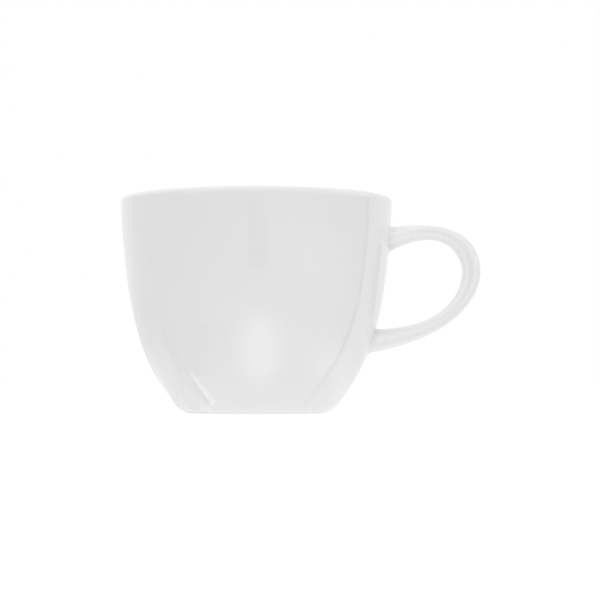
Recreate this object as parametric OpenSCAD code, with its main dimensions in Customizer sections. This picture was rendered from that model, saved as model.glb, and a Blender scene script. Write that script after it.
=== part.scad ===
// Espresso cup in white porcelain: a turned bowl on a low foot ring, and a cast loop
// handle that two beads of slip join to the wall. The cup stands on the plane z = 0,
// its axis is the z axis, and the handle points along +x. Sizes are in millimetres.

/* [Bowl] */
// Outer diameter at the rim
rim_d = 65; // [58:0.5:80]
// Height from the table to the top of the lip
cup_h = 51.5; // [46:0.5:66]
// Outer diameter of the ring that stands on the table
foot_d = 30.4; // [26:0.2:36]
// Radius of the turn from the flank to the table
foot_round = 5.6; // [3:0.2:7.6]
// Lean of the wall from upright just under the lip, in degrees
rim_lean = 2.6; // [1:0.2:5]
// Lean of the flank from upright just above the foot, in degrees
flank_lean = 36.2; // [30:0.2:42]
// Share of the wall's chord over which the wall keeps the lean it has at the lip
rim_pull = 0.61; // [0.45:0.01:0.68]
// Share of the wall's chord over which the flank keeps the lean it has at the foot
flank_pull = 0.23; // [0.15:0.01:0.32]

/* [Wall] */
// Thickness of the rounded lip
lip_t = 2.4; // [1.8:0.1:3.2]
// Thickness of the wall from the middle of the bowl down
wall_t = 3.2; // [2.4:0.1:4.4]
// Thickness of the floor at the axis
floor_t = 4; // [3:0.1:5.6]
// Height above the floor at which the inside starts to round into it
floor_turn = 10; // [6:0.5:14]

/* [Foot] */
// Width of the flat ring that stands on the table
foot_w = 2.4; // [1.4:0.1:3.6]
// Height of the hollow inside the foot ring
recess_h = 1.6; // [0.8:0.1:2.4]
// Run of the slope from the ring up into the hollow
recess_run = 2.8; // [1.6:0.1:4]

/* [Handle] */
// How far the handle stands out beyond the rim
handle_reach = 21.2; // [17:0.1:28]
// Drop from the top of the lip to the middle of the upper root
upper_drop = 10; // [8:0.1:13]
// Height of the middle of the lower root above the table
lower_h = 17.2; // [14:0.1:20]
// Drop from the middle of the upper root to the outermost point of the loop
bow_drop = 7.5; // [5:0.1:11]
// Radius of the loop's centre line at its outermost point
bow_round = 8; // [5:0.1:12]
// Climb of the upper arm as it leaves the wall, in degrees
upper_climb = 19.4; // [8:0.2:24]
// Climb of the lower arm as it leaves the wall, in degrees
lower_climb = 5.7; // [0:0.1:14]
// Share of its reach over which the upper arm keeps that climb
upper_pull = 0.73; // [0.5:0.01:0.82]
// Share of its reach over which the lower arm keeps that climb
lower_pull = 0.857; // [0.6:0.001:0.9]

/* [Handle section] */
// Thickness at the roots, in the plane of the loop
root_t = 5.5; // [4.4:0.1:6.6]
// Thickness of the slim arms
arm_t = 3.45; // [2.8:0.05:4.4]
// Thickness of the bow that the finger and thumb hold
bow_t = 4.45; // [3.6:0.05:5.6]
// Width at the roots, across the plane of the loop
root_w = 8.4; // [6.6:0.1:10]
// Width of the slim arms
arm_w = 6.4; // [5:0.1:8]
// Width of the bow
bow_w = 7.2; // [5.6:0.1:9]
// Squareness of the oval section: 2 is an ellipse
section_power = 2.3; // [2:0.1:3]

/* [Slip beads] */
// Thickness of slip between a handle end and the wall
slip_t = 1.6; // [1:0.1:2.4]
// How far a bead of slip spreads over the wall beside its handle end
slip_spread = 2; // [1:0.1:3]
// Share of that by which it spreads further below the handle end and less above it
slip_sag = 0.5; // [0:0.05:0.7]

/* [Hidden] */
glaze_colour = "White";
slip_colour = "WhiteSmoke";

// Steps along each curve of the turned outline and around the axis
wall_steps = 24;
floor_steps = 12;
lip_steps = 8;
foot_steps = 6;
recess_steps = 6;
turn_facets = 180;

// Steps along each arm of the handle, around its section and down a bead's hollow flank
arm_steps = 26;
section_sides = 28;
bead_steps = 6;

// Share of the outer wall at which the wall reaches its full thickness
thick_share = 0.45;
// Shares of the way to their corner over which the inner wall and the floor run on
wall_share = 0.75;
floor_share = 0.78;

// The handle's arms: shares of the way from root to bow at which an arm is slimmest and at
// which it has the full section of the bow
UPPER = 0;
LOWER = 1;
slim_share = [0.3, 0.36];
full_share = [0.76, 1];
// Share of an arm over which its section turns to lie along the wall
mitre_share = 0.4;

// Depth to which a bead's edge runs on under the wall before it is trimmed to the wall
bead_key = 0.22;
// Depth of the bead's hidden middle before it is trimmed to the wall
bead_root = 1.2;
// Half the height over which the wall's lean is measured
lean_probe = 0.4;

rim_r = rim_d / 2;
lip_r = lip_t / 2;
foot_r = foot_d / 2;
floor_z = recess_h + floor_t;

// Plane curves and ramps

function unit(v) = v / norm(v);

function bezier(c, u) =
    (1 - u) ^ 3 * c[0] + 3 * (1 - u) ^ 2 * u * c[1] + 3 * (1 - u) * u ^ 2 * c[2] + u ^ 3 * c[3];

function heading(c, u) =
    unit((1 - u) ^ 2 * (c[1] - c[0]) + 2 * (1 - u) * u * (c[2] - c[1]) + u ^ 2 * (c[3] - c[2]));

// Climbs from 0 to 1, level at both ends
function ease(k) = (1 - cos(180 * min(max(k, 0), 1))) / 2;

// Turned outline: the outer wall runs from the lip down to the turn above the foot

lip_centre = [rim_r - lip_r, cup_h - lip_r];
wall_top = lip_centre + lip_r * [cos(rim_lean), -sin(rim_lean)];
wall_end = [foot_r, foot_round] + foot_round * [cos(flank_lean), -sin(flank_lean)];
wall_chord = norm(wall_top - wall_end);
outer_wall = [
    wall_top,
    wall_top - rim_pull * wall_chord * [sin(rim_lean), cos(rim_lean)],
    wall_end + flank_pull * wall_chord * [sin(flank_lean), cos(flank_lean)],
    wall_end
];

outer_points = [
    for (i = [0:wall_steps]) bezier(outer_wall, i / wall_steps),
    for (i = [1:foot_steps])
        let (a = -flank_lean - (90 - flank_lean) * i / foot_steps)
        [foot_r, foot_round] + foot_round * [cos(a), sin(a)]
];

// The ring that stands on the table, and the slope that rises from it into the hollow
foot_points = [
    for (i = [0:recess_steps])
        let (k = i / recess_steps)
        [foot_r - foot_w - recess_run * k, recess_h * ease(k)],
    [0, recess_h]
];

// The inner wall keeps its thickness from the outer wall, then sweeps into the floor
function wall_thickness(u) = lip_t + (wall_t - lip_t) * ease(u / thick_share);

function inner_wall(u) =
    let (d = heading(outer_wall, u))
    bezier(outer_wall, u) + wall_thickness(u) * [d[1], -d[0]];

turn_u = lookup(
    floor_z + floor_turn,
    [for (i = [0:wall_steps]) [inner_wall(i / wall_steps)[1], i / wall_steps]]
);
turn_start = inner_wall(turn_u);
turn_heading = heading(outer_wall, turn_u);
turn_corner = turn_start + turn_heading * (floor_z - turn_start[1]) / turn_heading[1];
floor_centre = [0, floor_z];
floor_sweep = [
    floor_centre,
    floor_centre + floor_share * (turn_corner - floor_centre),
    turn_start + wall_share * (turn_corner - turn_start),
    turn_start
];

inner_points = [
    for (i = [0:floor_steps]) bezier(floor_sweep, i / floor_steps),
    for (i = [wall_steps - 1:-1:0]) inner_wall(turn_u * i / wall_steps)
];

lip_points = [
    for (i = [1:lip_steps - 1])
        let (a = 180 - rim_lean - 180 * i / lip_steps)
        lip_centre + lip_r * [cos(a), sin(a)]
];

// Radius and lean of the outer wall at a height, which place everything that seats on it

wall_table = [for (p = outer_points) [p[1], p[0]]];

function wall_r(z) = lookup(z, wall_table);

function wall_lean(z) = atan((wall_r(z + lean_probe) - wall_r(z - lean_probe)) / (2 * lean_probe));

// Centre lines of the handle's arms in the xz plane. Each runs from its root on the wall to
// the outermost point of the loop, where the two meet with one tangent and one radius.

root_z = [cup_h - upper_drop, lower_h];
climb = [upper_climb, lower_climb];
pull = [upper_pull, lower_pull];
bow = [rim_r + handle_reach - bow_t / 2, root_z[UPPER] - bow_drop];

function side(arm) = arm == UPPER ? 1 : -1;

// bow_pull gives the curve the radius bow_round where it reaches the bow
function arm_line(arm) =
    let (
        root = [wall_r(root_z[arm]), root_z[arm]],
        corner = root + pull[arm] * (bow[0] - root[0]) * [1, tan(climb[arm])],
        bow_pull = sqrt(bow_round * (bow[0] - corner[0]) * 2 / 3)
    )
    [root, corner, bow + [0, side(arm) * bow_pull], bow];

arms = [arm_line(UPPER), arm_line(LOWER)];

function course(arm, u) =
    let (d = heading(arms[arm], u))
    atan2(d[1], d[0]);

// The section swells at the root and at the bow and is slim between them
function swell(arm, u, root_size, arm_size, bow_size) =
    u < slim_share[arm]
    ? arm_size + (root_size - arm_size) * (1 - u / slim_share[arm]) ^ 2
    : arm_size + (bow_size - arm_size)
        * ease((u - slim_share[arm]) / (full_share[arm] - slim_share[arm]));

// Angle by which a section leans from square to the centre line, so that the end of the
// arm lies along the wall that it faces
function end_mitre(arm) = -wall_lean(root_z[arm]) - climb[arm];

function mitre(arm, u) = end_mitre(arm) * (1 - ease(u / mitre_share));

// Slip keeps the end of an arm off the wall. The curve leaves its root at three times its
// first leg, so this is the share of the curve that the slip takes up.
function arm_end(arm) =
    slip_t / cos(end_mitre(arm)) / (3 * norm(arms[arm][1] - arms[arm][0]));

// One point of the oval section, with half sizes of 1: across the loop, then outward
function signed_power(x, p) = sign(x) * abs(x) ^ p;

function section_point(j) =
    let (f = 360 * j / section_sides, p = 2 / section_power)
    [signed_power(sin(f), p), signed_power(cos(f), p)];

function arm_ring(arm, u) =
    let (
        c = bezier(arms[arm], u),
        a = course(arm, u) + mitre(arm, u),
        half_t = swell(arm, u, root_t, arm_t, bow_t) / cos(mitre(arm, u)) / 2,
        half_w = swell(arm, u, root_w, arm_w, bow_w) / 2,
        out = side(arm) * half_t * [-sin(a), cos(a)]
    )
    [
        for (j = [0:section_sides - 1])
            let (q = section_point(j))
            [c[0] + out[0] * q[1], half_w * q[0], c[1] + out[1] * q[1]]
    ];

// Place of step i along an arm, from its end to the bow
function arm_place(arm, i) = arm_end(arm) + (1 - arm_end(arm)) * i / arm_steps;

// Triangles between one ring of points and the next
function band(i) = [
    for (j = [0:section_sides - 1])
        let (
            k = (j + 1) % section_sides,
            a = i * section_sides,
            b = a + section_sides
        )
        each [[a + j, a + k, b + k], [a + j, b + k, b + j]]
];

function ring_ids(i) = [for (j = [0:section_sides - 1]) i * section_sides + j];

function reversed(list) = [for (i = [len(list) - 1:-1:0]) list[i]];

// A bead's flank leaves the handle end towards the wall and turns out along the wall

function on_wall(y, z, depth) = [sqrt((wall_r(z) - depth) ^ 2 - y ^ 2), y, z];

// Outward direction at one point of an arm's end, in the yz plane
function outward(arm, ring, j) =
    let (
        before = ring[(j + section_sides - 1) % section_sides],
        after = ring[(j + 1) % section_sides],
        d = unit([after[1] - before[1], after[2] - before[2]])
    )
    side(arm) * [-d[1], d[0]];

function bead_point(arm, ring, j, k) =
    let (
        top = ring[j],
        n = outward(arm, ring, j),
        out = slip_spread * (1 - slip_sag * n[1]) * n,
        under = on_wall(top[1], top[2], bead_key),
        edge = on_wall(top[1] + out[0], top[2] + out[1], bead_key)
    )
    (1 - k) ^ 2 * top + 2 * (1 - k) * k * under + k ^ 2 * edge;

// Sub-parts

module outer_form() {
    rotate_extrude($fn = turn_facets)
        polygon(concat(outer_points, [[0, 0], [0, wall_top[1]]]));
}

module cup_body() {
    color(glaze_colour)
        rotate_extrude($fn = turn_facets)
            polygon(concat(outer_points, foot_points, inner_points, lip_points));
}

module handle() {
    rings = [
        for (i = [0:arm_steps]) arm_ring(UPPER, arm_place(UPPER, i)),
        for (i = [arm_steps - 1:-1:0]) arm_ring(LOWER, arm_place(LOWER, i))
    ];
    last = len(rings) - 1;
    faces = [
        reversed(ring_ids(0)),
        for (i = [0:last - 1]) each band(i),
        ring_ids(last)
    ];
    color(glaze_colour)
        polyhedron([for (r = rings) each r], faces);
}

// Slip between the wall and the end of an arm, with its hollow flank around it
module slip_bead(arm) {
    ring = arm_ring(arm, arm_end(arm));
    rows = [
        for (i = [0:bead_steps])
            let (row = [for (j = [0:section_sides - 1]) bead_point(arm, ring, j, i / bead_steps)])
            arm == UPPER ? reversed(row) : row
    ];
    middle = on_wall(0, root_z[arm], bead_root);
    edge = bead_steps * section_sides;
    faces = [
        reversed(ring_ids(0)),
        for (i = [0:bead_steps - 1]) each band(i),
        for (j = [0:section_sides - 1])
            [edge + j, edge + (j + 1) % section_sides, edge + section_sides]
    ];
    color(slip_colour)
        difference() {
            polyhedron([for (r = rows) each r, middle], faces);
            outer_form();
        }
}

module upper_slip_bead() {
    slip_bead(UPPER);
}

module lower_slip_bead() {
    slip_bead(LOWER);
}

cup_body();
handle();
upper_slip_bead();
lower_slip_bead();
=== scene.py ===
# %% [markdown]
# # A white porcelain espresso cup
# The cup is four pieces: a turned bowl, a cast loop handle, and two beads of slip that join
# the handle to the wall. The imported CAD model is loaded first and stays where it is. Each
# piece below is modelled again as a smooth surface in the same place, because glaze mirrors
# its surroundings and a mirror shows every flat facet.

# %% Load the frame
import math

import bmesh
import bpy
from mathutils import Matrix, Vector


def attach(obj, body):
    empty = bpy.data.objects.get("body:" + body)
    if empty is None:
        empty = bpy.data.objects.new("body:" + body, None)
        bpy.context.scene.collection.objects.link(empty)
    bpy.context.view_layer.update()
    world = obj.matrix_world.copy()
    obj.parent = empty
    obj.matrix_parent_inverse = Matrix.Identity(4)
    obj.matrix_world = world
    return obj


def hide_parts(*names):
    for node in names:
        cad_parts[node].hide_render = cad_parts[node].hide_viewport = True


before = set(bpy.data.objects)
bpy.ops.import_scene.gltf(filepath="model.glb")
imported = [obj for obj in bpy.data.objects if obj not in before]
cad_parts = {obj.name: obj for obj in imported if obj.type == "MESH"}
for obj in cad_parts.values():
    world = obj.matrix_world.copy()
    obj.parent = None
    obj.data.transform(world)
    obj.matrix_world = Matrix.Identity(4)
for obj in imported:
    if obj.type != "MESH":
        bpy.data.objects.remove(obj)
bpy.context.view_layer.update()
MM = 0.001

# %% [markdown]
# ## Curves that shape the pieces
# A potter's outline is a few long sweeps, not a row of points. A cubic Bezier curve holds
# such a sweep in four corners, and its heading says which way the surface faces there.
# `ease` climbs from 0 to 1 and is level at both ends, which suits any part that swells or
# thins without a kink. Sizes are written in millimetres and turned into metres when a
# vertex is placed.


# %% Curve helpers
def bezier(corners, u):
    a, b, c, d = corners
    v = 1 - u
    return a * v**3 + b * (3 * v * v * u) + c * (3 * v * u * u) + d * u**3


def heading(corners, u):
    a, b, c, d = corners
    v = 1 - u
    return ((b - a) * (v * v) + (c - b) * (2 * v * u) + (d - c) * (u * u)).normalized()


def ease(k):
    return (1 - math.cos(math.pi * min(max(k, 0), 1))) / 2


def at_angle(degrees, radius=1):
    a = math.radians(degrees)
    return Vector((math.cos(a), math.sin(a))) * radius


print("ease in quarters:", [round(ease(k / 4), 2) for k in range(5)])

# %% [markdown]
# ## The outline of the bowl
# The wall leaves the lip almost upright, keeps that lean for most of its height and then
# turns in to a small foot. The outer sweep is one Bezier curve that starts along the lean
# at the lip and ends along the lean of the flank. The lip is half a circle, the turn above
# the table is an arc, and the ring under the foot is flat.

# %% Outer wall
RIM_R, CUP_H = 32.5, 51.5
FOOT_R, FOOT_ROUND = 15.2, 5.6
RIM_LEAN, FLANK_LEAN = 2.6, 36.2
RIM_PULL, FLANK_PULL = 0.61, 0.23
LIP_T = 2.4
LIP_R = LIP_T / 2
WALL_STEPS, LIP_STEPS, FOOT_STEPS = 26, 10, 7

lip_centre = Vector((RIM_R - LIP_R, CUP_H - LIP_R))
foot_centre = Vector((FOOT_R, FOOT_ROUND))
wall_top = lip_centre + at_angle(-RIM_LEAN, LIP_R)
wall_end = foot_centre + at_angle(-FLANK_LEAN, FOOT_ROUND)
chord = (wall_top - wall_end).length
outer_wall = (
    wall_top,
    wall_top + at_angle(-90 - RIM_LEAN, RIM_PULL * chord),
    wall_end + at_angle(90 - FLANK_LEAN, FLANK_PULL * chord),
    wall_end,
)
outer_points = [bezier(outer_wall, i / WALL_STEPS) for i in range(WALL_STEPS + 1)]
print("wall from", [round(c, 2) for c in wall_top], "to", [round(c, 2) for c in wall_end])

# %% [markdown]
# ## Where the glaze stops
# A porcelain cup stands in the kiln on its foot ring, so the ring is wiped bare before the
# firing, or it would stick. On the outside the coat of glaze ends in a tiny step. Colour alone
# could show it, but the outline takes that step inwards, so that the bare ring really lies
# behind the glaze.

# %% Foot ring with its glaze edge
FOOT_W, RECESS_H, RECESS_RUN = 2.4, 1.6, 2.8
GLAZE_T = 0.12
BARE_Z = 0.3
BARE_MIDDLE, BARE_LOW = 0.5, 0.12
RECESS_STEPS = 8
CEILING_SHARES = (0.75, 0.5, 0.25, 0)

bare_angle = math.degrees(math.asin(1 - BARE_Z / FOOT_ROUND))
foot_turn = [
    foot_centre + at_angle(-FLANK_LEAN - (bare_angle - FLANK_LEAN) * i / FOOT_STEPS, FOOT_ROUND)
    for i in range(1, FOOT_STEPS + 1)
]
step_r = foot_turn[-1].x
ring_out, ring_in = FOOT_R, FOOT_R - FOOT_W
foot_ring = [
    Vector((step_r - GLAZE_T, BARE_Z - GLAZE_T / 4)),
    Vector((step_r - 3 * GLAZE_T, BARE_Z * BARE_MIDDLE)),
    Vector(((step_r + ring_out) / 2, BARE_Z * BARE_LOW)),
    Vector((ring_out, 0)),
    Vector(((2 * ring_out + ring_in) / 3, 0)),
    Vector(((ring_out + 2 * ring_in) / 3, 0)),
    Vector((ring_in, 0)),
]
recess = [
    Vector((ring_in - RECESS_RUN * i / RECESS_STEPS, RECESS_H * ease(i / RECESS_STEPS)))
    for i in range(1, RECESS_STEPS + 1)
]
recess += [Vector((recess[-1].x * k, RECESS_H)) for k in CEILING_SHARES]
print(f"glaze stops {BARE_Z} mm up, at radius {step_r:.2f} mm")

# %% [markdown]
# ## The inside of the bowl
# The inner wall keeps its distance from the outer one: thin at the lip, thicker from the
# middle down. Near the bottom it leaves the wall and sweeps into the floor in one wide
# curve, so that a spoon reaches everything.

# %% Inner wall and floor
WALL_T, FLOOR_T, FLOOR_TURN = 3.2, 4, 10
THICK_SHARE, WALL_SHARE, FLOOR_SHARE = 0.45, 0.75, 0.78
FLOOR_STEPS = 16
SEARCH_STEP = 0.001
FLOOR_Z = RECESS_H + FLOOR_T


def inner_wall(u):
    along = heading(outer_wall, u)
    thickness = LIP_T + (WALL_T - LIP_T) * ease(u / THICK_SHARE)
    return bezier(outer_wall, u) + Vector((along.y, -along.x)) * thickness


turn_u = 0.0
while inner_wall(turn_u).y > FLOOR_Z + FLOOR_TURN:
    turn_u += SEARCH_STEP
turn_start, turn_along = inner_wall(turn_u), heading(outer_wall, turn_u)
turn_corner = turn_start + turn_along * ((FLOOR_Z - turn_start.y) / turn_along.y)
floor_middle = Vector((0, FLOOR_Z))
floor_sweep = (
    floor_middle,
    floor_middle.lerp(turn_corner, FLOOR_SHARE),
    turn_start.lerp(turn_corner, WALL_SHARE),
    turn_start,
)
inside = [bezier(floor_sweep, i / FLOOR_STEPS) for i in range(FLOOR_STEPS + 1)]
inside += [inner_wall(turn_u * i / WALL_STEPS) for i in range(WALL_STEPS - 1, -1, -1)]
lip = [
    lip_centre + at_angle(180 - RIM_LEAN - 180 * i / LIP_STEPS, LIP_R)
    for i in range(1, LIP_STEPS)
]
outline = inside + lip + outer_points + foot_turn + foot_ring + recess
print(len(outline), "points in the outline; the inside turns at", round(turn_start.y, 1), "mm")

# %% [markdown]
# ## Turning the bowl
# The wheel makes the real one, and Spin does the same here: one vertex is pulled along the
# outline, and the wire is spun once around the axis. The first and last points lie on the
# axis, so their copies are merged into one pole each. One level of Subdivision Surface
# rounds the steps that are left.


# %% Helpers for finished pieces
def placed_mesh(name, bm):
    mesh = bpy.data.meshes.new(name)
    bm.to_mesh(mesh)
    bm.free()
    made = bpy.data.objects.new(name, mesh)
    bpy.context.scene.collection.objects.link(made)
    return made


def finished_piece(name, bm):
    bmesh.ops.recalc_face_normals(bm, faces=bm.faces)
    for face in bm.faces:
        face.smooth = True
    piece = placed_mesh(name, bm)
    smooth = piece.modifiers.new("smooth", "SUBSURF")
    smooth.levels = smooth.render_levels = 1
    print(name, "has", len(piece.data.polygons), "faces before smoothing")
    return piece


# %% Cup body
TURN_STEPS = 96
SAME_POINT = 0.001 * MM

bm = bmesh.new()
tip = bm.verts.new((outline[0].x * MM, 0, outline[0].y * MM))
for point in outline[1:]:
    tip = bmesh.ops.extrude_vert_indiv(bm, verts=[tip])["verts"][0]
    tip.co = (point.x * MM, 0, point.y * MM)
bmesh.ops.spin(
    bm, geom=bm.verts[:] + bm.edges[:], cent=(0, 0, 0), axis=(0, 0, 1),
    angle=math.tau, steps=TURN_STEPS, use_merge=True,
)
bmesh.ops.remove_doubles(bm, verts=bm.verts, dist=SAME_POINT)
cup_body = finished_piece("porcelain_bowl", bm)

# %% [markdown]
# ## The handle's path
# The loop leaves the wall near the lip, climbs a little, bows out and comes back low down.
# Two Bezier arms run from their roots on the wall to the outermost point, the bow, and meet
# there with one tangent and one radius, so no kink shows in the glaze.

# %% Centre lines of the two arms
HANDLE_REACH, BOW_DROP, BOW_ROUND = 21.2, 7.5, 8
ROOT_Z = {"upper": CUP_H - 10, "lower": 17.2}
CLIMB = {"upper": 19.4, "lower": 5.7}
PULL = {"upper": 0.73, "lower": 0.857}
SIDE = {"upper": 1, "lower": -1}
BOW_T = 4.45
HALVINGS = 40


def wall_r(z):
    low, high = 0.0, 1.0
    for _ in range(HALVINGS):
        middle = (low + high) / 2
        low, high = (middle, high) if bezier(outer_wall, middle).y > z else (low, middle)
    return bezier(outer_wall, low).x


bow = Vector((RIM_R + HANDLE_REACH - BOW_T / 2, ROOT_Z["upper"] - BOW_DROP))


def arm_line(arm):
    root = Vector((wall_r(ROOT_Z[arm]), ROOT_Z[arm]))
    run = PULL[arm] * (bow.x - root.x)
    corner = root + Vector((run, run * math.tan(math.radians(CLIMB[arm]))))
    bow_pull = math.sqrt(BOW_ROUND * (bow.x - corner.x) * 2 / 3)
    return root, corner, bow + Vector((0, SIDE[arm] * bow_pull)), bow


arms = {arm: arm_line(arm) for arm in ROOT_Z}
print("roots at", {arm: [round(c, 2) for c in line[0]] for arm, line in arms.items()})

# %% [markdown]
# ## The handle's section
# A cast handle is a flat oval, a little squarer than an ellipse. It is thick at the roots,
# slim along the arms and fuller again at the bow where finger and thumb hold it. Towards a
# root the section leans over until it lies along the wall that it faces.

# %% Section sizes and lean
SLIM = {"upper": 0.3, "lower": 0.36}
FULL = {"upper": 0.76, "lower": 1.0}
THICK = (5.5, 3.45, BOW_T)
WIDE = (8.4, 6.4, 7.2)
SECTION_POWER = 2.3
MITRE_SHARE = 0.4
SLIP_T = 1.6
LEAN_PROBE = 0.4


def swell(arm, u, sizes):
    at_root, at_arm, at_bow = sizes
    if u < SLIM[arm]:
        return at_arm + (at_root - at_arm) * (1 - u / SLIM[arm]) ** 2
    return at_arm + (at_bow - at_arm) * ease((u - SLIM[arm]) / (FULL[arm] - SLIM[arm]))


def end_mitre(arm):
    z = ROOT_Z[arm]
    run = wall_r(z + LEAN_PROBE) - wall_r(z - LEAN_PROBE)
    lean = math.atan(run / (2 * LEAN_PROBE))
    return -lean - math.radians(CLIMB[arm])


def arm_end(arm):
    root, corner = arms[arm][:2]
    return SLIP_T / math.cos(end_mitre(arm)) / (3 * (corner - root).length)


print("ends lean by", {arm: round(math.degrees(end_mitre(arm)), 1) for arm in arms}, "degrees")

# %% [markdown]
# ## The handle's tone
# The handle's tone is painted light and shade: the slim handle is painted lighter than the
# bowl, least on the flanks of the bow, where the section is deepest, and most on the inner side
# from the bow down, where light falls through the loop. A plain colour would hide that, so every
# vertex carries a number, its tone. Faint lines along the oval are a painted reflection of narrow
# bands that the glaze of a real handle mirrors.

# %% Painted light and shade around and along the loop
SECTION_SIDES = 48
BOWL_TONE = 0.80
PLACES = (0, 0.12, 0.5, 0.8, 1)
# painted light and shade on the handle, for the outer side, the flanks and the inner side, at
# each place along the loop
HANDLE_PAINTED_LIGHT = {
    "outer": (0.90, 0.795, 0.825, 0.825, 0.84),
    "flank": (0.90, 0.87, 0.79, 0.855, 0.895),
    "inner": (0.86, 0.88, 0.955, 0.965, 0.915),
}
EDGE_FROM, FLANK_SHIFT = 0.42, 0.2
PAINTED_REFLECTION_DEPTH, PAINTED_REFLECTION_GAP, PAINTED_REFLECTION_AT = 0.02, 0.8, -0.41


def signed_power(x, p):
    return math.copysign(abs(x) ** p, x)


def side_painted_light(side, along):
    tones = HANDLE_PAINTED_LIGHT[side]
    i = max(i for i in range(len(PLACES) - 1) if PLACES[i] <= along)
    share = (along - PLACES[i]) / (PLACES[i + 1] - PLACES[i])
    return tones[i] + (tones[i + 1] - tones[i]) * ease(share)


# the tone at one vertex of a ring: painted light and shade, with painted reflection lines
def section_painted_light(j, along):
    outwards = math.cos(math.tau * j / SECTION_SIDES)
    off_flank = outwards + FLANK_SHIFT
    edge = side_painted_light("outer" if off_flank > 0 else "inner", along)
    flank = side_painted_light("flank", along)
    # painted reflection: faint light and dark lines that run along the oval
    from_reflection_line = -signed_power(outwards, 2 / SECTION_POWER) - PAINTED_REFLECTION_AT * (1 - ease(2 * along - 1))
    painted_reflections = 1 + PAINTED_REFLECTION_DEPTH * math.cos(math.tau * from_reflection_line / PAINTED_REFLECTION_GAP)
    return painted_reflections * (flank + (edge - flank) * ease(abs(off_flank) / EDGE_FROM))


bow_painted_light = [section_painted_light(j, 0.5) for j in range(SECTION_SIDES)]
print("tones at the bow from", round(min(bow_painted_light), 2), "to", round(max(bow_painted_light), 2))

# %% [markdown]
# ## Lofting the handle
# The handle could be a curve with a bevel, but its section changes and leans on the way. So
# a circle becomes the oval, and Extrude carries it along the arms ring by ring. The rings keep
# their order, so each vertex of a new ring is put where the section says. The ends run on a
# little under the slip, where nothing shows.


# %% One ring of the section
def section_ring(arm, u, grow=1.0):
    centre, along = bezier(arms[arm], u), heading(arms[arm], u)
    lean = end_mitre(arm) * (1 - ease(u / MITRE_SHARE))
    turn = math.atan2(along.y, along.x) + lean
    half_t = grow * swell(arm, max(u, 0), THICK) / math.cos(lean) / 2
    half_w = grow * swell(arm, max(u, 0), WIDE) / 2
    out = Vector((-math.sin(turn), math.cos(turn))) * (SIDE[arm] * half_t)
    ring = []
    for j in range(SECTION_SIDES):
        f = math.tau * j / SECTION_SIDES
        across = signed_power(math.sin(f), 2 / SECTION_POWER) * half_w
        upward = signed_power(math.cos(f), 2 / SECTION_POWER)
        ring.append(Vector((centre.x + out.x * upward, across, centre.y + out.y * upward)))
    return ring


print("ring at the bow is", round(2 * max(p.y for p in section_ring("upper", 1)), 2), "mm wide")


# %% Rings in the mesh
def set_ring(bm, ring, places, along, to_bowl=0.0, crease_shade=0.0):
    tone = bm.verts.layers.float["tone"]
    for j, (vert, place) in enumerate(zip(ring, places)):
        vert.co = place * MM
        own = section_painted_light(j, along)
        # painted shade: a bead's ring darkens most on the inner side of the loop
        inwards = (1 - math.cos(math.tau * j / SECTION_SIDES)) / 2
        vert[tone] = (own + (BOWL_TONE - own) * to_bowl) * (1 - crease_shade * inwards)


def first_ring(bm, places, along):
    bm.verts.layers.float.new("tone")
    ring = bmesh.ops.create_circle(bm, cap_ends=True, segments=SECTION_SIDES, radius=MM)["verts"]
    set_ring(bm, ring, places, along)
    return ring


def next_ring(bm, ring, places, along, to_bowl=0.0, crease_shade=0.0):
    edges = [bm.edges.get((a, b)) for a, b in zip(ring, ring[1:] + ring[:1])]
    made = bmesh.ops.extrude_edge_only(bm, edges=edges)["geom"]
    fresh = {g for g in made if isinstance(g, bmesh.types.BMVert)}
    following = [
        next(e.other_vert(v) for e in v.link_edges if e.other_vert(v) in fresh) for v in ring
    ]
    set_ring(bm, following, places, along, to_bowl, crease_shade)
    return following


# %% Handle
ARM_STEPS = 30
END_UNDER = 0.6

bm = bmesh.new()
stations = [("upper", i) for i in range(ARM_STEPS + 1)]
stations += [("lower", i) for i in range(ARM_STEPS - 1, -1, -1)]
ring = None
for count, (arm, i) in enumerate(stations):
    start = arm_end(arm) * END_UNDER
    places = section_ring(arm, start + (1 - start) * i / ARM_STEPS)
    along = count / (len(stations) - 1)
    ring = next_ring(bm, ring, places, along) if ring else first_ring(bm, places, along)
bm.faces.new(ring)
handle = finished_piece("porcelain_handle", bm)

# %% [markdown]
# ## Beads of slip
# The potter sticks a handle on with slip, liquid clay, and wipes what squeezes out into a
# hollow fillet with a wet finger. More of it hangs below a root than above. Each bead starts
# as a ring just inside the handle and comes out of it along its own surface. A cubic curve,
# pulled towards the corner, then turns it along the wall until it runs out under it. So the
# surfaces meet at a low angle and the joint looks fired. Its tone runs from the handle's
# painted light to the bowl's, and painted shade darkens the corner inside the loop.

# %% Where a bead lies on the wall
SLIP_SPREAD, SLIP_SAG = 2.0, 0.5
BEAD_KEY = 0.05
JUST_ABOVE = 1.1


def on_wall(y, z, depth):
    return Vector((math.sqrt((wall_r(z) - depth) ** 2 - y * y), y, z))


def outward(ring, j, middle_z):
    before, after = ring[j - 1], ring[(j + 1) % len(ring)]
    along = Vector((after.y - before.y, after.z - before.z)).normalized()
    normal = Vector((-along.y, along.x))
    from_middle = Vector((ring[j].y, ring[j].z - middle_z))
    return normal if normal.dot(from_middle) > 0 else -normal


def bead_row(arm, k, depth=BEAD_KEY):
    end = section_ring(arm, arm_end(arm))
    before = section_ring(arm, JUST_ABOVE * arm_end(arm))
    row = []
    for j, top in enumerate(end):
        n = outward(end, j, ROOT_Z[arm])
        spread = n * (SLIP_SPREAD * (1 - SLIP_SAG * n.y))
        ahead = (top - before[j]) / (before[j].x - top.x)
        reach = top.x - on_wall(top.y, top.z, depth).x
        corner = on_wall(top.y + ahead.y * reach, top.z + ahead.z * reach, depth)
        edge = on_wall(corner.y + spread.x, corner.z + spread.y, depth)
        row.append(bezier((top, corner, corner, edge), k))
    return row


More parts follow.
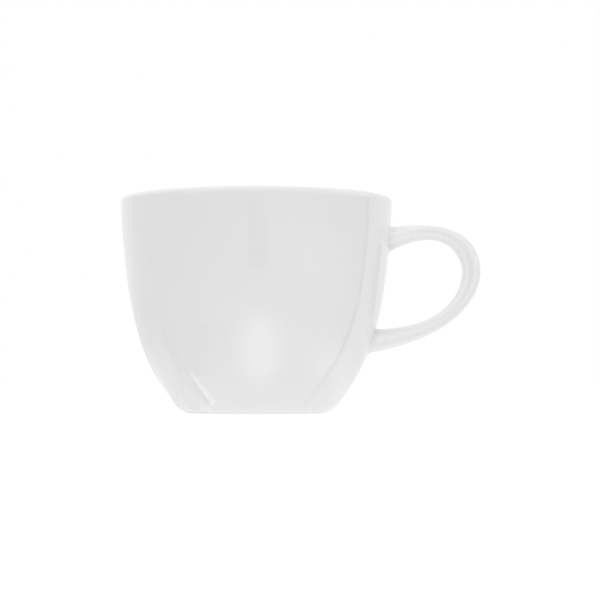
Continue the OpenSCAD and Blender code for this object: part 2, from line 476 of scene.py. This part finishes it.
for arm in arms:
    heights = [round(p.z, 2) for p in bead_row(arm, 1)]
    print(arm, "bead lies on the wall from", min(heights), "to", max(heights), "mm")

# %% Upper and lower bead
BEAD_STEPS = 14
INSIDE_HANDLE = ((2.6, 0.95), (1.9, 0.98), (1.45, 0.993), (1.2, 0.998))
HIDDEN_DEPTH = 0.8
# painted shade in the corner inside the loop, for each bead
CREASE_SHADE = {"upper": 0.1, "lower": 0.12}


def slip_bead(arm):
    bm = bmesh.new()
    along = 0 if arm == "upper" else 1
    hidden = [section_ring(arm, up * arm_end(arm), grow) for up, grow in INSIDE_HANDLE]
    ring = first_ring(bm, hidden[0], along)
    for places in hidden[1:]:
        ring = next_ring(bm, ring, places, along)
    for i in range(BEAD_STEPS + 1):
        k = i / BEAD_STEPS
        # painted shade, deepest midway along the bead, in the corner
        crease_shade = CREASE_SHADE[arm] * math.sin(math.pi * k) ** 2
        ring = next_ring(bm, ring, bead_row(arm, k), along, ease(k), crease_shade)
    ring = next_ring(bm, ring, bead_row(arm, 1, depth=HIDDEN_DEPTH), along, to_bowl=1)
    bm.faces.new(ring)
    return finished_piece(f"{arm}_slip_fillet", bm)


upper_bead, lower_bead = slip_bead("upper"), slip_bead("lower")

# %% [markdown]
# ## Glaze over porcelain
# Glazed porcelain is a white body under a clear coat of glass, about as smooth as a window.
# It isn't perfect: the glaze flows in the kiln, so its surface rolls gently over several
# millimetres and has a faint peel at about one. Its tone drifts a little, and it is lighter
# where the coat is thin, on the lip and just above the foot ring. Noise on Object coordinates
# gives each of the uneven ones its own size, and the handle and the slip take the tone that
# their rings carry. The colour, roughness and bump all come from nodes, and what is the same
# all over is set on the shader itself.


# %% Node helpers
def new_material(name):
    material = bpy.data.materials.new(name)
    material.use_nodes = True
    nodes, links = material.node_tree.nodes, material.node_tree.links
    return material, nodes, links, nodes["Principled BSDF"]


def noise(nodes, links, coords, scale, detail=2.0):
    made = nodes.new("ShaderNodeTexNoise")
    made.inputs["Scale"].default_value = scale
    made.inputs["Detail"].default_value = detail
    links.new(coords, made.inputs["Vector"])
    return made.outputs["Fac"]


def mapped(nodes, links, value, low, high, to_low, to_high):
    made = nodes.new("ShaderNodeMapRange")
    for name, number in zip(("From Min", "From Max", "To Min", "To Max"),
                            (low, high, to_low, to_high)):
        made.inputs[name].default_value = number
    made.interpolation_type = "SMOOTHSTEP"
    links.new(value, made.inputs["Value"])
    return made.outputs["Result"]


def combined(nodes, links, operation, a, b):
    made = nodes.new("ShaderNodeMath")
    made.operation = operation
    for socket, value in zip(made.inputs, (a, b)):
        if isinstance(value, (int, float)):
            socket.default_value = value
        else:
            links.new(value, socket)
    return made.outputs[0]


def blended(nodes, links, factor, first, second):
    made = nodes.new("ShaderNodeMix")
    made.data_type = "RGBA"
    links.new(factor, made.inputs["Factor"])
    for socket, value in zip(("A", "B"), (first, second)):
        target = next(i for i in made.inputs if i.name == socket and i.type == "RGBA")
        if isinstance(value, tuple):
            target.default_value = (*value, 1)
        else:
            links.new(value, target)
    return next(o for o in made.outputs if o.type == "RGBA")


def rolled(nodes, links, height, depth, before=None):
    made = nodes.new("ShaderNodeBump")
    made.inputs["Strength"].default_value = 1.0
    made.inputs["Distance"].default_value = depth
    links.new(height, made.inputs["Height"])
    if before is not None:
        links.new(before, made.inputs["Normal"])
    return made.outputs["Normal"]


# %% Where the coat is thin or missing
THIN, BARE = (0.823,) * 3, (0.80,) * 3
THIN_LOW, THIN_LOW_END = 0.4, 11
THIN_LIP, THIN_LIP_END = CUP_H - 0.5, CUP_H - 1.6
BARE_FADE, BARE_FROM_R, BARE_FULL_R = 0.06, 12.0, 12.3


def thin_coat(nodes, links, height):
    low = mapped(nodes, links, height, THIN_LOW * MM, THIN_LOW_END * MM, 1, 0)
    high = mapped(nodes, links, height, THIN_LIP_END * MM, THIN_LIP * MM, 0, 1)
    return combined(nodes, links, "MAXIMUM", low, high)


def bare_ring(nodes, links, apart):
    radius = nodes.new("ShaderNodeVectorMath")
    radius.operation = "LENGTH"
    flat = nodes.new("ShaderNodeCombineXYZ")
    links.new(apart.outputs["X"], flat.inputs["X"])
    links.new(apart.outputs["Y"], flat.inputs["Y"])
    links.new(flat.outputs[0], radius.inputs[0])
    height, far = apart.outputs["Z"], radius.outputs["Value"]
    below = mapped(nodes, links, height, (BARE_Z - BARE_FADE) * MM, BARE_Z * MM, 1, 0)
    outer = mapped(nodes, links, far, BARE_FROM_R * MM, BARE_FULL_R * MM, 0, 1)
    return combined(nodes, links, "MULTIPLY", below, outer)


print("glaze thins out above", round(THIN_LIP_END, 1), "and below", THIN_LOW_END, "mm")

# %% Glazed porcelain
GLASS_IOR, DRIFT = 1.5, 0.9875
ROLL_MM, PEEL_MM, DRIFT_MM, GRAIN_MM = 9, 1.3, 22, 0.25
ROLL_DEPTH, PEEL_DEPTH, GRAIN_DEPTH = 0.012 * MM, 0.0004 * MM, 0.02 * MM
DRIFT_SPAN, SHEEN_SPAN = (0.35, 0.65), (0.3, 0.7)
SHEEN, BARE_DULL = (0.04, 0.07), 0.55


def glazed(name, is_bowl):
    material, nodes, links, shader = new_material(name)
    coords = nodes.new("ShaderNodeTexCoord").outputs["Object"]
    apart = nodes.new("ShaderNodeSeparateXYZ")
    links.new(coords, apart.inputs[0])
    drift = mapped(nodes, links, noise(nodes, links, coords, 1 / (DRIFT_MM * MM)),
                   *DRIFT_SPAN, 1, DRIFT)
    carried = BOWL_TONE
    if not is_bowl:
        # the tone that the rings carry is painted light and shade on the handle and the slip
        rings = nodes.new("ShaderNodeAttribute")
        rings.attribute_name = "tone"
        carried = rings.outputs["Fac"]
    tone = combined(nodes, links, "MULTIPLY", carried, drift)
    sheen = mapped(nodes, links, noise(nodes, links, coords, 1 / (ROLL_MM * MM), 1),
                   *SHEEN_SPAN, *SHEEN)
    normal = rolled(nodes, links, noise(nodes, links, coords, 1 / (ROLL_MM * MM), 0), ROLL_DEPTH)
    normal = rolled(nodes, links, noise(nodes, links, coords, 1 / (PEEL_MM * MM), 1),
                    PEEL_DEPTH, normal)
    if is_bowl:
        thin, bare = thin_coat(nodes, links, apart.outputs["Z"]), bare_ring(nodes, links, apart)
        tone = blended(nodes, links, thin, tone, THIN)
        tone = blended(nodes, links, bare, tone, BARE)
        grain = noise(nodes, links, coords, 1 / (GRAIN_MM * MM), 3)
        sheen = combined(nodes, links, "ADD", sheen,
                         combined(nodes, links, "MULTIPLY", bare, BARE_DULL))
        normal = rolled(nodes, links, combined(nodes, links, "MULTIPLY", grain, bare),
                        GRAIN_DEPTH, normal)
    links.new(tone, shader.inputs["Base Color"])
    links.new(sheen, shader.inputs["Roughness"])
    links.new(normal, shader.inputs["Normal"])
    shader.inputs["IOR"].default_value = GLASS_IOR
    print(name, "has", len(nodes), "nodes")
    return material


bowl_glaze = glazed("glazed_porcelain_bowl", is_bowl=True)
handle_glaze = glazed("glazed_porcelain_handle", is_bowl=False)
slip_glaze = glazed("glazed_slip_fillets", is_bowl=False)

# %% [markdown]
# ## Putting the pieces on the frame
# Nothing on a cup moves, so every piece rides on the one body of the frame. Each one stands
# for a CAD node, which then isn't shown, and takes its glaze.

# %% Ride, replace and finish
for piece, node, slot, material in (
    (cup_body, "cup_body", "glazed_porcelain", bowl_glaze),
    (handle, "handle", "glazed_porcelain", handle_glaze),
    (upper_bead, "upper_slip_bead", "glazed_slip", slip_glaze),
    (lower_bead, "lower_slip_bead", "glazed_slip", slip_glaze),
):
    piece.data.materials.append(material)
    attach(piece, "root")
    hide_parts(node)
    print(piece.name, "stands for", node)

# %% [markdown]
# ## Table and surroundings
# The cup stands on a white light table in a white tent. The camera and every mirroring
# surface see pure white, but the light that falls on the cup stays at a plain level: the
# Light Path node tells the two apart. The table keeps a soft shadow, because part of its
# brightness is ordinary lit paint.


# %% White for the camera, plain light for the cup
def seen_directly(nodes, links):
    path = nodes.new("ShaderNodeLightPath")
    seen = combined(nodes, links, "MAXIMUM", path.outputs["Is Camera Ray"],
                    path.outputs["Is Glossy Ray"])
    return combined(nodes, links, "MAXIMUM", seen, path.outputs["Is Transmission Ray"])


WORLD_LIGHT = 0.82

world = bpy.data.worlds.new("white_tent")
bpy.context.scene.world = world
world.use_nodes = True
nodes, links = world.node_tree.nodes, world.node_tree.links
strength = mapped(nodes, links, seen_directly(nodes, links), 0, 1, WORLD_LIGHT, 1)
links.new(strength, nodes["Background"].inputs["Strength"])
nodes["Background"].inputs["Color"].default_value = (1, 1, 1, 1)
world.cycles.sampling_method = "NONE"
print("the tent lights the cup at", WORLD_LIGHT, "of white")

# %% Table
TABLE_HALF = 1.6
TABLE_GLOW = 0.9
SEEN_PAINT, LIT_PAINT = 0.2, 0.1

bm = bmesh.new()
bmesh.ops.create_grid(bm, x_segments=1, y_segments=1, size=TABLE_HALF)
table = placed_mesh("table", bm)
material, nodes, links, shader = new_material("white_table")
seen = seen_directly(nodes, links)
paint = mapped(nodes, links, seen, 0, 1, LIT_PAINT, SEEN_PAINT)
links.new(paint, shader.inputs["Base Color"])
shader.inputs["Roughness"].default_value = 1.0
shader.inputs["Specular IOR Level"].default_value = 0.0
shader.inputs["Emission Color"].default_value = (1, 1, 1, 1)
shader.inputs["Emission Strength"].default_value = TABLE_GLOW
material.cycles.emission_sampling = "NONE"
table.data.materials.append(material)
print("table", 2 * TABLE_HALF, "m square")

# %% [markdown]
# ## What the glaze mirrors
# White on white would vanish, so such a cup is photographed among cards of different
# brightness: the glaze mirrors them, and its round form shows. Light and shade painted on the
# cup would look alike from the front, but they would stay put when the cup is turned. So the
# cards lie on the table and stand at its far end, and only mirrored rays see them. A card
# that adds light is see-through, and what lies below it counts too. Light that has already
# been scattered sees all cards alike, which keeps the grain down.


# %% A card that only the glaze sees
SCATTERED = 0.85
cards = []


def unless_scattered(nodes, links, level, otherwise):
    depth = nodes.new("ShaderNodeLightPath").outputs["Diffuse Depth"]
    scattered = combined(nodes, links, "MINIMUM", depth, 1)
    change = combined(nodes, links, "SUBTRACT", otherwise, level)
    return combined(nodes, links, "ADD", level,
                    combined(nodes, links, "MULTIPLY", change, scattered))


def glow_material(name, glow, adds):
    material, nodes, links, shader = new_material(name)
    material.cycles.emission_sampling = "NONE"
    nodes.remove(shader)
    emit = nodes.new("ShaderNodeEmission")
    surface = emit.outputs[0]
    if adds:
        both = nodes.new("ShaderNodeAddShader")
        links.new(emit.outputs[0], both.inputs[0])
        links.new(nodes.new("ShaderNodeBsdfTransparent").outputs[0], both.inputs[1])
        surface = both.outputs[0]
    links.new(surface, nodes["Material Output"].inputs["Surface"])
    level = glow(nodes, links) if callable(glow) else glow
    strength = unless_scattered(nodes, links, level, 0 if adds else SCATTERED)
    links.new(strength, emit.inputs["Strength"])
    return material


def tent_card(name, faces, glow, adds=False):
    bm = bmesh.new()
    for corners in faces:
        bm.faces.new([bm.verts.new(Vector(c) * MM) for c in corners])
    card = placed_mesh(name, bm)
    card.data.materials.append(glow_material(name, glow, adds))
    card.visible_camera = card.visible_diffuse = card.visible_shadow = False
    card.visible_transmission = card.visible_volume_scatter = False
    cards.append(name)


# %% [markdown]
# ## How a card's glow runs
# A card seldom glows evenly. On a card, a place is told by its turn around the cup, counted
# from the front, and by its distance from the cup's axis. The glow can run with the turn, with
# the distance, or be a pool with one bright centre. In a pool, distances count as times nearer
# or farther, because the wall mirrors near things larger.


# %% Three kinds of glow
def turn_and_distance(nodes, links):
    apart = nodes.new("ShaderNodeSeparateXYZ")
    links.new(nodes.new("ShaderNodeTexCoord").outputs["Object"], apart.inputs[0])
    across = apart.outputs["X"]
    forward = combined(nodes, links, "MULTIPLY", apart.outputs["Y"], -1)
    turn = combined(nodes, links, "ARCTAN2", across, forward)
    return turn, length_of(nodes, links, across, forward)


def length_of(nodes, links, a, b):
    squared = combined(nodes, links, "ADD", combined(nodes, links, "MULTIPLY", a, a),
                       combined(nodes, links, "MULTIPLY", b, b))
    return combined(nodes, links, "SQRT", squared, 0)


def fading(from_turn, to_turn, from_level, to_level):
    def glow(nodes, links):
        turn, _ = turn_and_distance(nodes, links)
        return mapped(nodes, links, turn, math.radians(from_turn), math.radians(to_turn),
                      from_level, to_level)
    return glow


def receding(near, far, near_level, far_level):
    def glow(nodes, links):
        _, distance = turn_and_distance(nodes, links)
        return mapped(nodes, links, distance, near * MM, far * MM, near_level, far_level)
    return glow


def pool(turn, reach, far, times, level):
    def glow(nodes, links):
        here, distance = turn_and_distance(nodes, links)
        from_turn = combined(nodes, links, "SUBTRACT", here, math.radians(turn))
        aside = combined(nodes, links, "DIVIDE", from_turn, math.radians(reach))
        steps = combined(nodes, links, "LOGARITHM",
                         combined(nodes, links, "DIVIDE", distance, far * MM), times)
        return mapped(nodes, links, length_of(nodes, links, aside, steps), 0, 1, level, 0)
    return glow


# %% Where cards lie, in millimetres and degrees
ARC_STEPS = 12
WALL_HIGH, POST_HIGH = 260, 45
LAYER = {"table": 0.2, "heel": 0.25, "shade": 0.3, "seam": 0.4, "gleam": 0.5, "pool": 0.7}


def around(azimuth, distance, height):
    a = math.radians(azimuth)
    return distance * math.sin(a), -distance * math.cos(a), height


def arc(start, end, distance, height, steps=ARC_STEPS):
    return [around(start + (end - start) * i / steps, distance, height)
            for i in range(steps + 1)]


def ring_part(start, end, near, far, height):
    return arc(start, end, near, height) + arc(end, start, far, height)


def bearing(point):
    return math.degrees(math.atan2(point[0], -point[1]))


def on_table(points, height):
    return [(x, y, height) for x, y in points]


def standing(name, start, end, distance, glow, low=0, high=WALL_HIGH, steps=ARC_STEPS):
    foot, top = arc(start, end, distance, low, steps), arc(start, end, distance, high, steps)
    faces = [[foot[i], foot[i + 1], top[i + 1], top[i]] for i in range(steps)]
    tent_card(name, faces, glow)


print("cards lie on", len(LAYER), "layers, the highest at", max(LAYER.values()), "mm")

# %% [markdown]
# ## Front and back of the tent
# The table in front of the cup is bright in the middle and darker to both sides, and so is
# the wall of the tent at its far end. Two seams part the front from the back. A round of plain
# white table stays free in front of the foot. The back tables reach in to the foot and give it
# darker sides, and a narrow lighter card at its left keeps that from turning into a line.

# %% Front and back tables and walls
ROUND, UNDER, FAR = 30, 16, 900
PARTING = -12
SEAMS = {
    "left": [(-16.6, -16.2), (-26.1, -14.2), (-33, -13), (-52, -7.8), (-157, 10), (-880, 165)],
    "right": [(12, -15.4), (18, -15.8), (25, -15.3), (32, -14.2), (42.4, -11.5), (57, -8.1),
              (77, -2.6), (102, 5.6), (141, 20.8), (259, 60), (860, 270)],
}
FRONT = {"left": fading(-100, -15, 0.42, 1.32), "right": fading(25, 115, 1.42, 0.4)}
BACK = {"left": fading(-145, -100, 0.85, 0.52), "right": fading(108, 132, 0.9, 0.95)}
FRONT_WALL = {"left": fading(-95, 0, 0.4, 1.35), "right": fading(10, 100, 1.2, 0.45)}
BACK_WALL = {"left": fading(-145, -103, 0.95, 0.45), "right": fading(108, 140, 0.8, 0.98)}
HEEL_FROM, HEEL_TO, HEEL_WIDE, HEEL_LEVEL = -120, -40, 1.9, 0.8

flat = LAYER["table"]
for name, seam in SEAMS.items():
    behind = math.copysign(180, seam[-1][0])
    beyond = [p for p in seam if math.hypot(*p) > ROUND]
    far_end = bearing(seam[-1])
    front_edge = arc(far_end, PARTING, FAR, flat) + arc(PARTING, bearing(beyond[0]), ROUND, flat)
    back_edge = arc(far_end, behind, FAR, flat) + arc(behind, bearing(seam[0]), UNDER, flat)
    tent_card(f"{name}_front_table", [on_table(beyond, flat) + front_edge], FRONT[name])
    tent_card(f"{name}_back_table", [on_table(seam, flat) + back_edge], BACK[name])
    standing(f"{name}_front_wall", far_end, PARTING, FAR, FRONT_WALL[name])
    standing(f"{name}_back_wall", far_end, behind, FAR, BACK_WALL[name])
heel = ring_part(HEEL_FROM, HEEL_TO, UNDER, UNDER + HEEL_WIDE, LAYER["heel"])
tent_card("left_heel", [heel], HEEL_LEVEL)
print(len(cards), "cards for the tables and walls")

# %% [markdown]
# ## Seams, a gleam and a board
# Where front and back meet, the wall shows a dark line on each side: thin and pale near the
# foot, wider and darker farther up. A second line runs inside the left one, darkest at the
# foot, with a short bright gleam beside it. On the right a curtain darkens the back, and the
# edge of a board shows as a thin light line beside its shade. Each of these is a strip along a
# path, whose half width follows from the distance to the cup.


# %% Dark seams
SEAM_PALE, SEAM_DARK = {"left": 0.62, "right": 0.65}, {"left": 0.4, "right": 0.1}
SEAM_LEAST, SEAM_SPREAD = {"left": 0.3, "right": 0.75}, {"left": 0.026, "right": 0.04}
PALE_TO, DARK_FROM = 36, 56
POST_AT = FAR - 50
INNER_SEAM = [(-12, -16.4), (-14, -16.5), (-20.6, -17.2), (-27.5, -17.4), (-36, -16.8),
              (-57, -13), (-157, -8), (-880, 80)]
INNER_LEAST, INNER_SPREAD = 0.65, 0.016
INNER_GLOW = receding(23, 32, 0.2, 0.55)


def strip(name, path, level, height, half, adds=False):
    sides = ([], [])
    for i, point in enumerate(path):
        here = Vector(point)
        before, after = Vector(path[max(i - 1, 0)]), Vector(path[min(i + 1, len(path) - 1)])
        along = (after - before).normalized()
        aside = Vector((-along.y, along.x)) * half(here.length)
        for side, place in zip(sides, (here + aside, here - aside)):
            side.append((*place, height))
    tent_card(name, [sides[0] + sides[1][::-1]], level, adds)


for name, seam in SEAMS.items():
    least, spread, dark = SEAM_LEAST[name], SEAM_SPREAD[name], SEAM_DARK[name]
    strip(f"{name}_seam", seam, receding(PALE_TO, DARK_FROM, SEAM_PALE[name], dark),
          LAYER["seam"], lambda far: least + spread * max(far - ROUND, 0))
    turn, half_turn = bearing(seam[-1]), math.degrees(spread)
    standing(f"{name}_seam_post", turn - half_turn, turn + half_turn, POST_AT, dark, steps=1)
strip("left_inner_seam", INNER_SEAM, INNER_GLOW, LAYER["seam"],
      lambda far: max(INNER_LEAST, INNER_SPREAD * far))
print(len(cards), "cards with the seams")

# %% Gleam, curtain and board
GLEAM = [(-25.5, -18.8), (-20.6, -19), (-16.7, -18.7), (-14, -18.2), (-10.7, -17.4)]
GLEAM_LEVEL, GLEAM_HALF, GLEAM_TAPER = 1.08, 1.3, 0.019
CURTAIN_TURN, CURTAIN_HALF_TURN, CURTAIN_FROM = 130, 6.5, 150
CURTAIN_SPREAD, CURTAIN_LEVEL = 0.11, 0.55
BOARD_EDGE, BOARD_SHADE = [(62.4, -32), (60.7, -21), (58.7, -11)], [(58, -25), (54, -13.5)]
BOARD_EDGE_LEVEL, BOARD_EDGE_HALF = 0.8, 0.7
BOARD_SHADE_LEVEL, BOARD_SHADE_HALF = 0.5, 0.6

strip("left_gleam", GLEAM, GLEAM_LEVEL, LAYER["gleam"],
      lambda far: GLEAM_HALF - GLEAM_TAPER * far, adds=True)
curtain = [around(CURTAIN_TURN, far, 0)[:2] for far in (CURTAIN_FROM, FAR)]
strip("right_curtain", curtain, CURTAIN_LEVEL, LAYER["seam"], lambda far: CURTAIN_SPREAD * far)
standing("right_curtain_post", CURTAIN_TURN - CURTAIN_HALF_TURN, CURTAIN_TURN + CURTAIN_HALF_TURN,
         POST_AT, CURTAIN_LEVEL, high=POST_HIGH, steps=1)
strip("board_edge", BOARD_EDGE, BOARD_EDGE_LEVEL, LAYER["gleam"],
      lambda far: BOARD_EDGE_HALF, adds=True)
strip("board_shade", BOARD_SHADE, BOARD_SHADE_LEVEL, LAYER["seam"],
      lambda far: BOARD_SHADE_HALF)
print(len(cards), "cards with the gleam, the curtain and the board")

# %% [markdown]
# ## A slit for the lens
# The camera looks into a tent through a slit. The wall mirrors it as a faint dark streak down
# its middle, with a rounded lower end. So the near end of the card on the table is round, and
# a post at the far end carries the streak on upwards.

# %% Slit for the lens
SLIT_LEFT, SLIT_RIGHT, SLIT_END, SLIT_ROUND = -5.5, 8.8, 215, 28
SLIT_LEVEL = 0.9

near_side = []
for i, (x, y, z) in enumerate(arc(SLIT_LEFT, SLIT_RIGHT, 1, LAYER["seam"])):
    reach = SLIT_END - SLIT_ROUND * math.sin(math.pi * i / ARC_STEPS)
    near_side.append((x * reach, y * reach, z))
far_side = arc(SLIT_RIGHT, SLIT_LEFT, FAR, LAYER["seam"], 1)
tent_card("lens_slit", [near_side + far_side], SLIT_LEVEL)
standing("lens_slit_post", SLIT_LEFT, SLIT_RIGHT, POST_AT, SLIT_LEVEL, high=POST_HIGH, steps=1)
print("slit", SLIT_RIGHT - SLIT_LEFT, "degrees wide, from", SLIT_END, "mm outwards")

# %% [markdown]
# ## Pools of light and shade
# Light never falls quite evenly on a table. Beside the foot the wall mirrors a few soft pools
# of light, and in front on the left a shade. A pool lies on top of the tables and only adds
# light, most of it at its centre. Its outline keeps it off the seams.

# %% Pools of light and shade on the table
SHADE_FROM, SHADE_TO, SHADE_END = -58, -20, 70
LEFT_BACK = [(-16.6, -15.5), (-26, -13.5), (-52, -6.8), (-150, 12), (-150, 90), (-20, 90),
             (-5, 13)]
LEFT_FOOT = [(-10, -15.2), (-16.6, -15.5), (-26, -13.5), (-24, -3), (-14, -3), (-10, -10)]
RIGHT_FRONT = [(14, -16.6), (20, -17), (27, -16.3), (43, -12.5), (57, -9.1), (57, -45),
               (24, -36), (12, -24)]
RIGHT_BACK = [(12, -14.5), (25, -14.3), (42, -10.5), (57, -7), (100, 9), (60, 70), (20, 60),
              (5, 13)]
FOOT_FROM, FOOT_TO, FOOT_NEAR = -70, 75, 14

foot_round = [p[:2] for p in ring_part(FOOT_FROM, FOOT_TO, FOOT_NEAR, ROUND, 0)]
shade = ring_part(SHADE_FROM, SHADE_TO, ROUND, SHADE_END, LAYER["shade"])
tent_card("left_shade", [shade], fading(-46, -22, 0.68, 1.15))
for name, area, glow in (
    ("left_pool", LEFT_BACK, pool(turn=-90, reach=110, far=35, times=5, level=0.47)),
    ("left_foot_pool", LEFT_FOOT, pool(turn=-55, reach=45, far=20, times=2, level=0.4)),
    ("right_pool", RIGHT_FRONT, pool(turn=66, reach=34, far=33, times=2.2, level=1.0)),
    ("right_back_pool", RIGHT_BACK, pool(turn=68, reach=62, far=36, times=2.6, level=0.5)),
    ("foot_pool", foot_round, pool(turn=20, reach=85, far=20, times=3, level=0.12)),
):
    tent_card(name, [on_table(area, LAYER["pool"])], glow, adds=True)
print(len(cards), "cards with the pools")

# %% [markdown]
# ## A soft box in front
# A soft box is a lamp behind white cloth. This one hangs high in front, so only surfaces that
# face upwards mirror it: the lip, and the upper sides of the handle and of the slip. As a card
# it gives the mirror image without the lamp's light.

# %% Soft box in front
BOX_LEFT, BOX_RIGHT, BOX_AT = -62, 110, 700
BOX_LOW, BOX_HIGH, BOX_LEVEL = 130, 1200, 1.5

standing("soft_box", BOX_LEFT, BOX_RIGHT, BOX_AT, BOX_LEVEL, low=BOX_LOW, high=BOX_HIGH)
print(len(cards), "cards in all")

# %% [markdown]
# ## Lamps
# Three large soft lamps, left, right and above, give the form a little shade. They stay
# weak, because the tent already lights the cup from all sides. The glaze mirrors the cards
# alone, so the lamps are hidden from it.


# %% Soft lamps
LAMP_AIM = Vector((0, 0, 0.025))


def aimed(name, data, place, aim):
    made = bpy.data.objects.new(name, data)
    bpy.context.scene.collection.objects.link(made)
    made.location = place
    made.rotation_euler = (aim - made.location).to_track_quat("-Z", "Y").to_euler()
    return made


def soft_lamp(name, place, size, watts):
    data = bpy.data.lights.new(name, "AREA")
    data.shape = "RECTANGLE"
    data.size, data.size_y = size
    data.energy = watts
    aimed(name, data, place, LAMP_AIM).visible_glossy = False
    print(name, "of", watts, "W")


soft_lamp("left_lamp", (-0.34, 0.075, 0.69), (0.25, 0.25), 0.87)
soft_lamp("right_lamp", (0.6, -0.15, 0.45), (0.25, 0.25), 0.3)
soft_lamp("top_lamp", (0.0, -0.05, 0.7), (0.4, 0.2), 0.5)

# %% [markdown]
# ## An oval of light
# A soft oval of light lies low on the front of the wall. A bright card would make it too, but
# at grazing angles the glaze mirrors a bright card as pure white, and from other sides the
# cup's edge would vanish. So a narrow spot lamp throws it. Its cone is as wide as the oval is
# high, the lamp's scale makes it slim, and a full blend softens its edge.

# %% Narrow lamp for the oval of light
OVAL_AT, OVAL_FROM = Vector((1.5, -22, 14.8)) * MM, Vector((1.5, -422, 14.8)) * MM
OVAL_WIDE, OVAL_HIGH = 12.5 * MM, 22 * MM
OVAL_LAMP_R, OVAL_WATTS = 2.5 * MM, 0.62

data = bpy.data.lights.new("oval_lamp", "SPOT")
data.spot_size = 2 * math.atan2(OVAL_HIGH / 2, (OVAL_AT - OVAL_FROM).length)
data.spot_blend = 1
data.shadow_soft_size = OVAL_LAMP_R
data.energy = OVAL_WATTS
lamp = aimed("oval_lamp", data, OVAL_FROM, OVAL_AT)
lamp.scale = (OVAL_WIDE / OVAL_HIGH, 1, 1)
lamp.visible_glossy = False
print("cone of", round(math.degrees(data.spot_size), 2), "degrees")

# %% [markdown]
# ## Camera
# The photograph was taken from just above the table with a long lens, level with the lower
# part of the cup, so that the rim shows as a thin upward arc. The camera stands at that
# height and looks up a little. The Standard view shows the colours as they are written.

# %% Camera
LENS_MM, SENSOR_MM = 117.06, 36
NEAR_CLIP = 0.01
CAMERA_AT, AIM_AT = Vector((10.42, -467, 8.8)) * MM, Vector((10.42, 0, 27.05)) * MM

data = bpy.data.cameras.new("camera")
data.lens, data.sensor_width = LENS_MM, SENSOR_MM
data.clip_start = NEAR_CLIP
bpy.context.scene.camera = aimed("camera", data, CAMERA_AT, AIM_AT)
bpy.context.scene.view_settings.view_transform = "Standard"
print("camera", round((AIM_AT - CAMERA_AT).length / MM), "mm from where it aims")
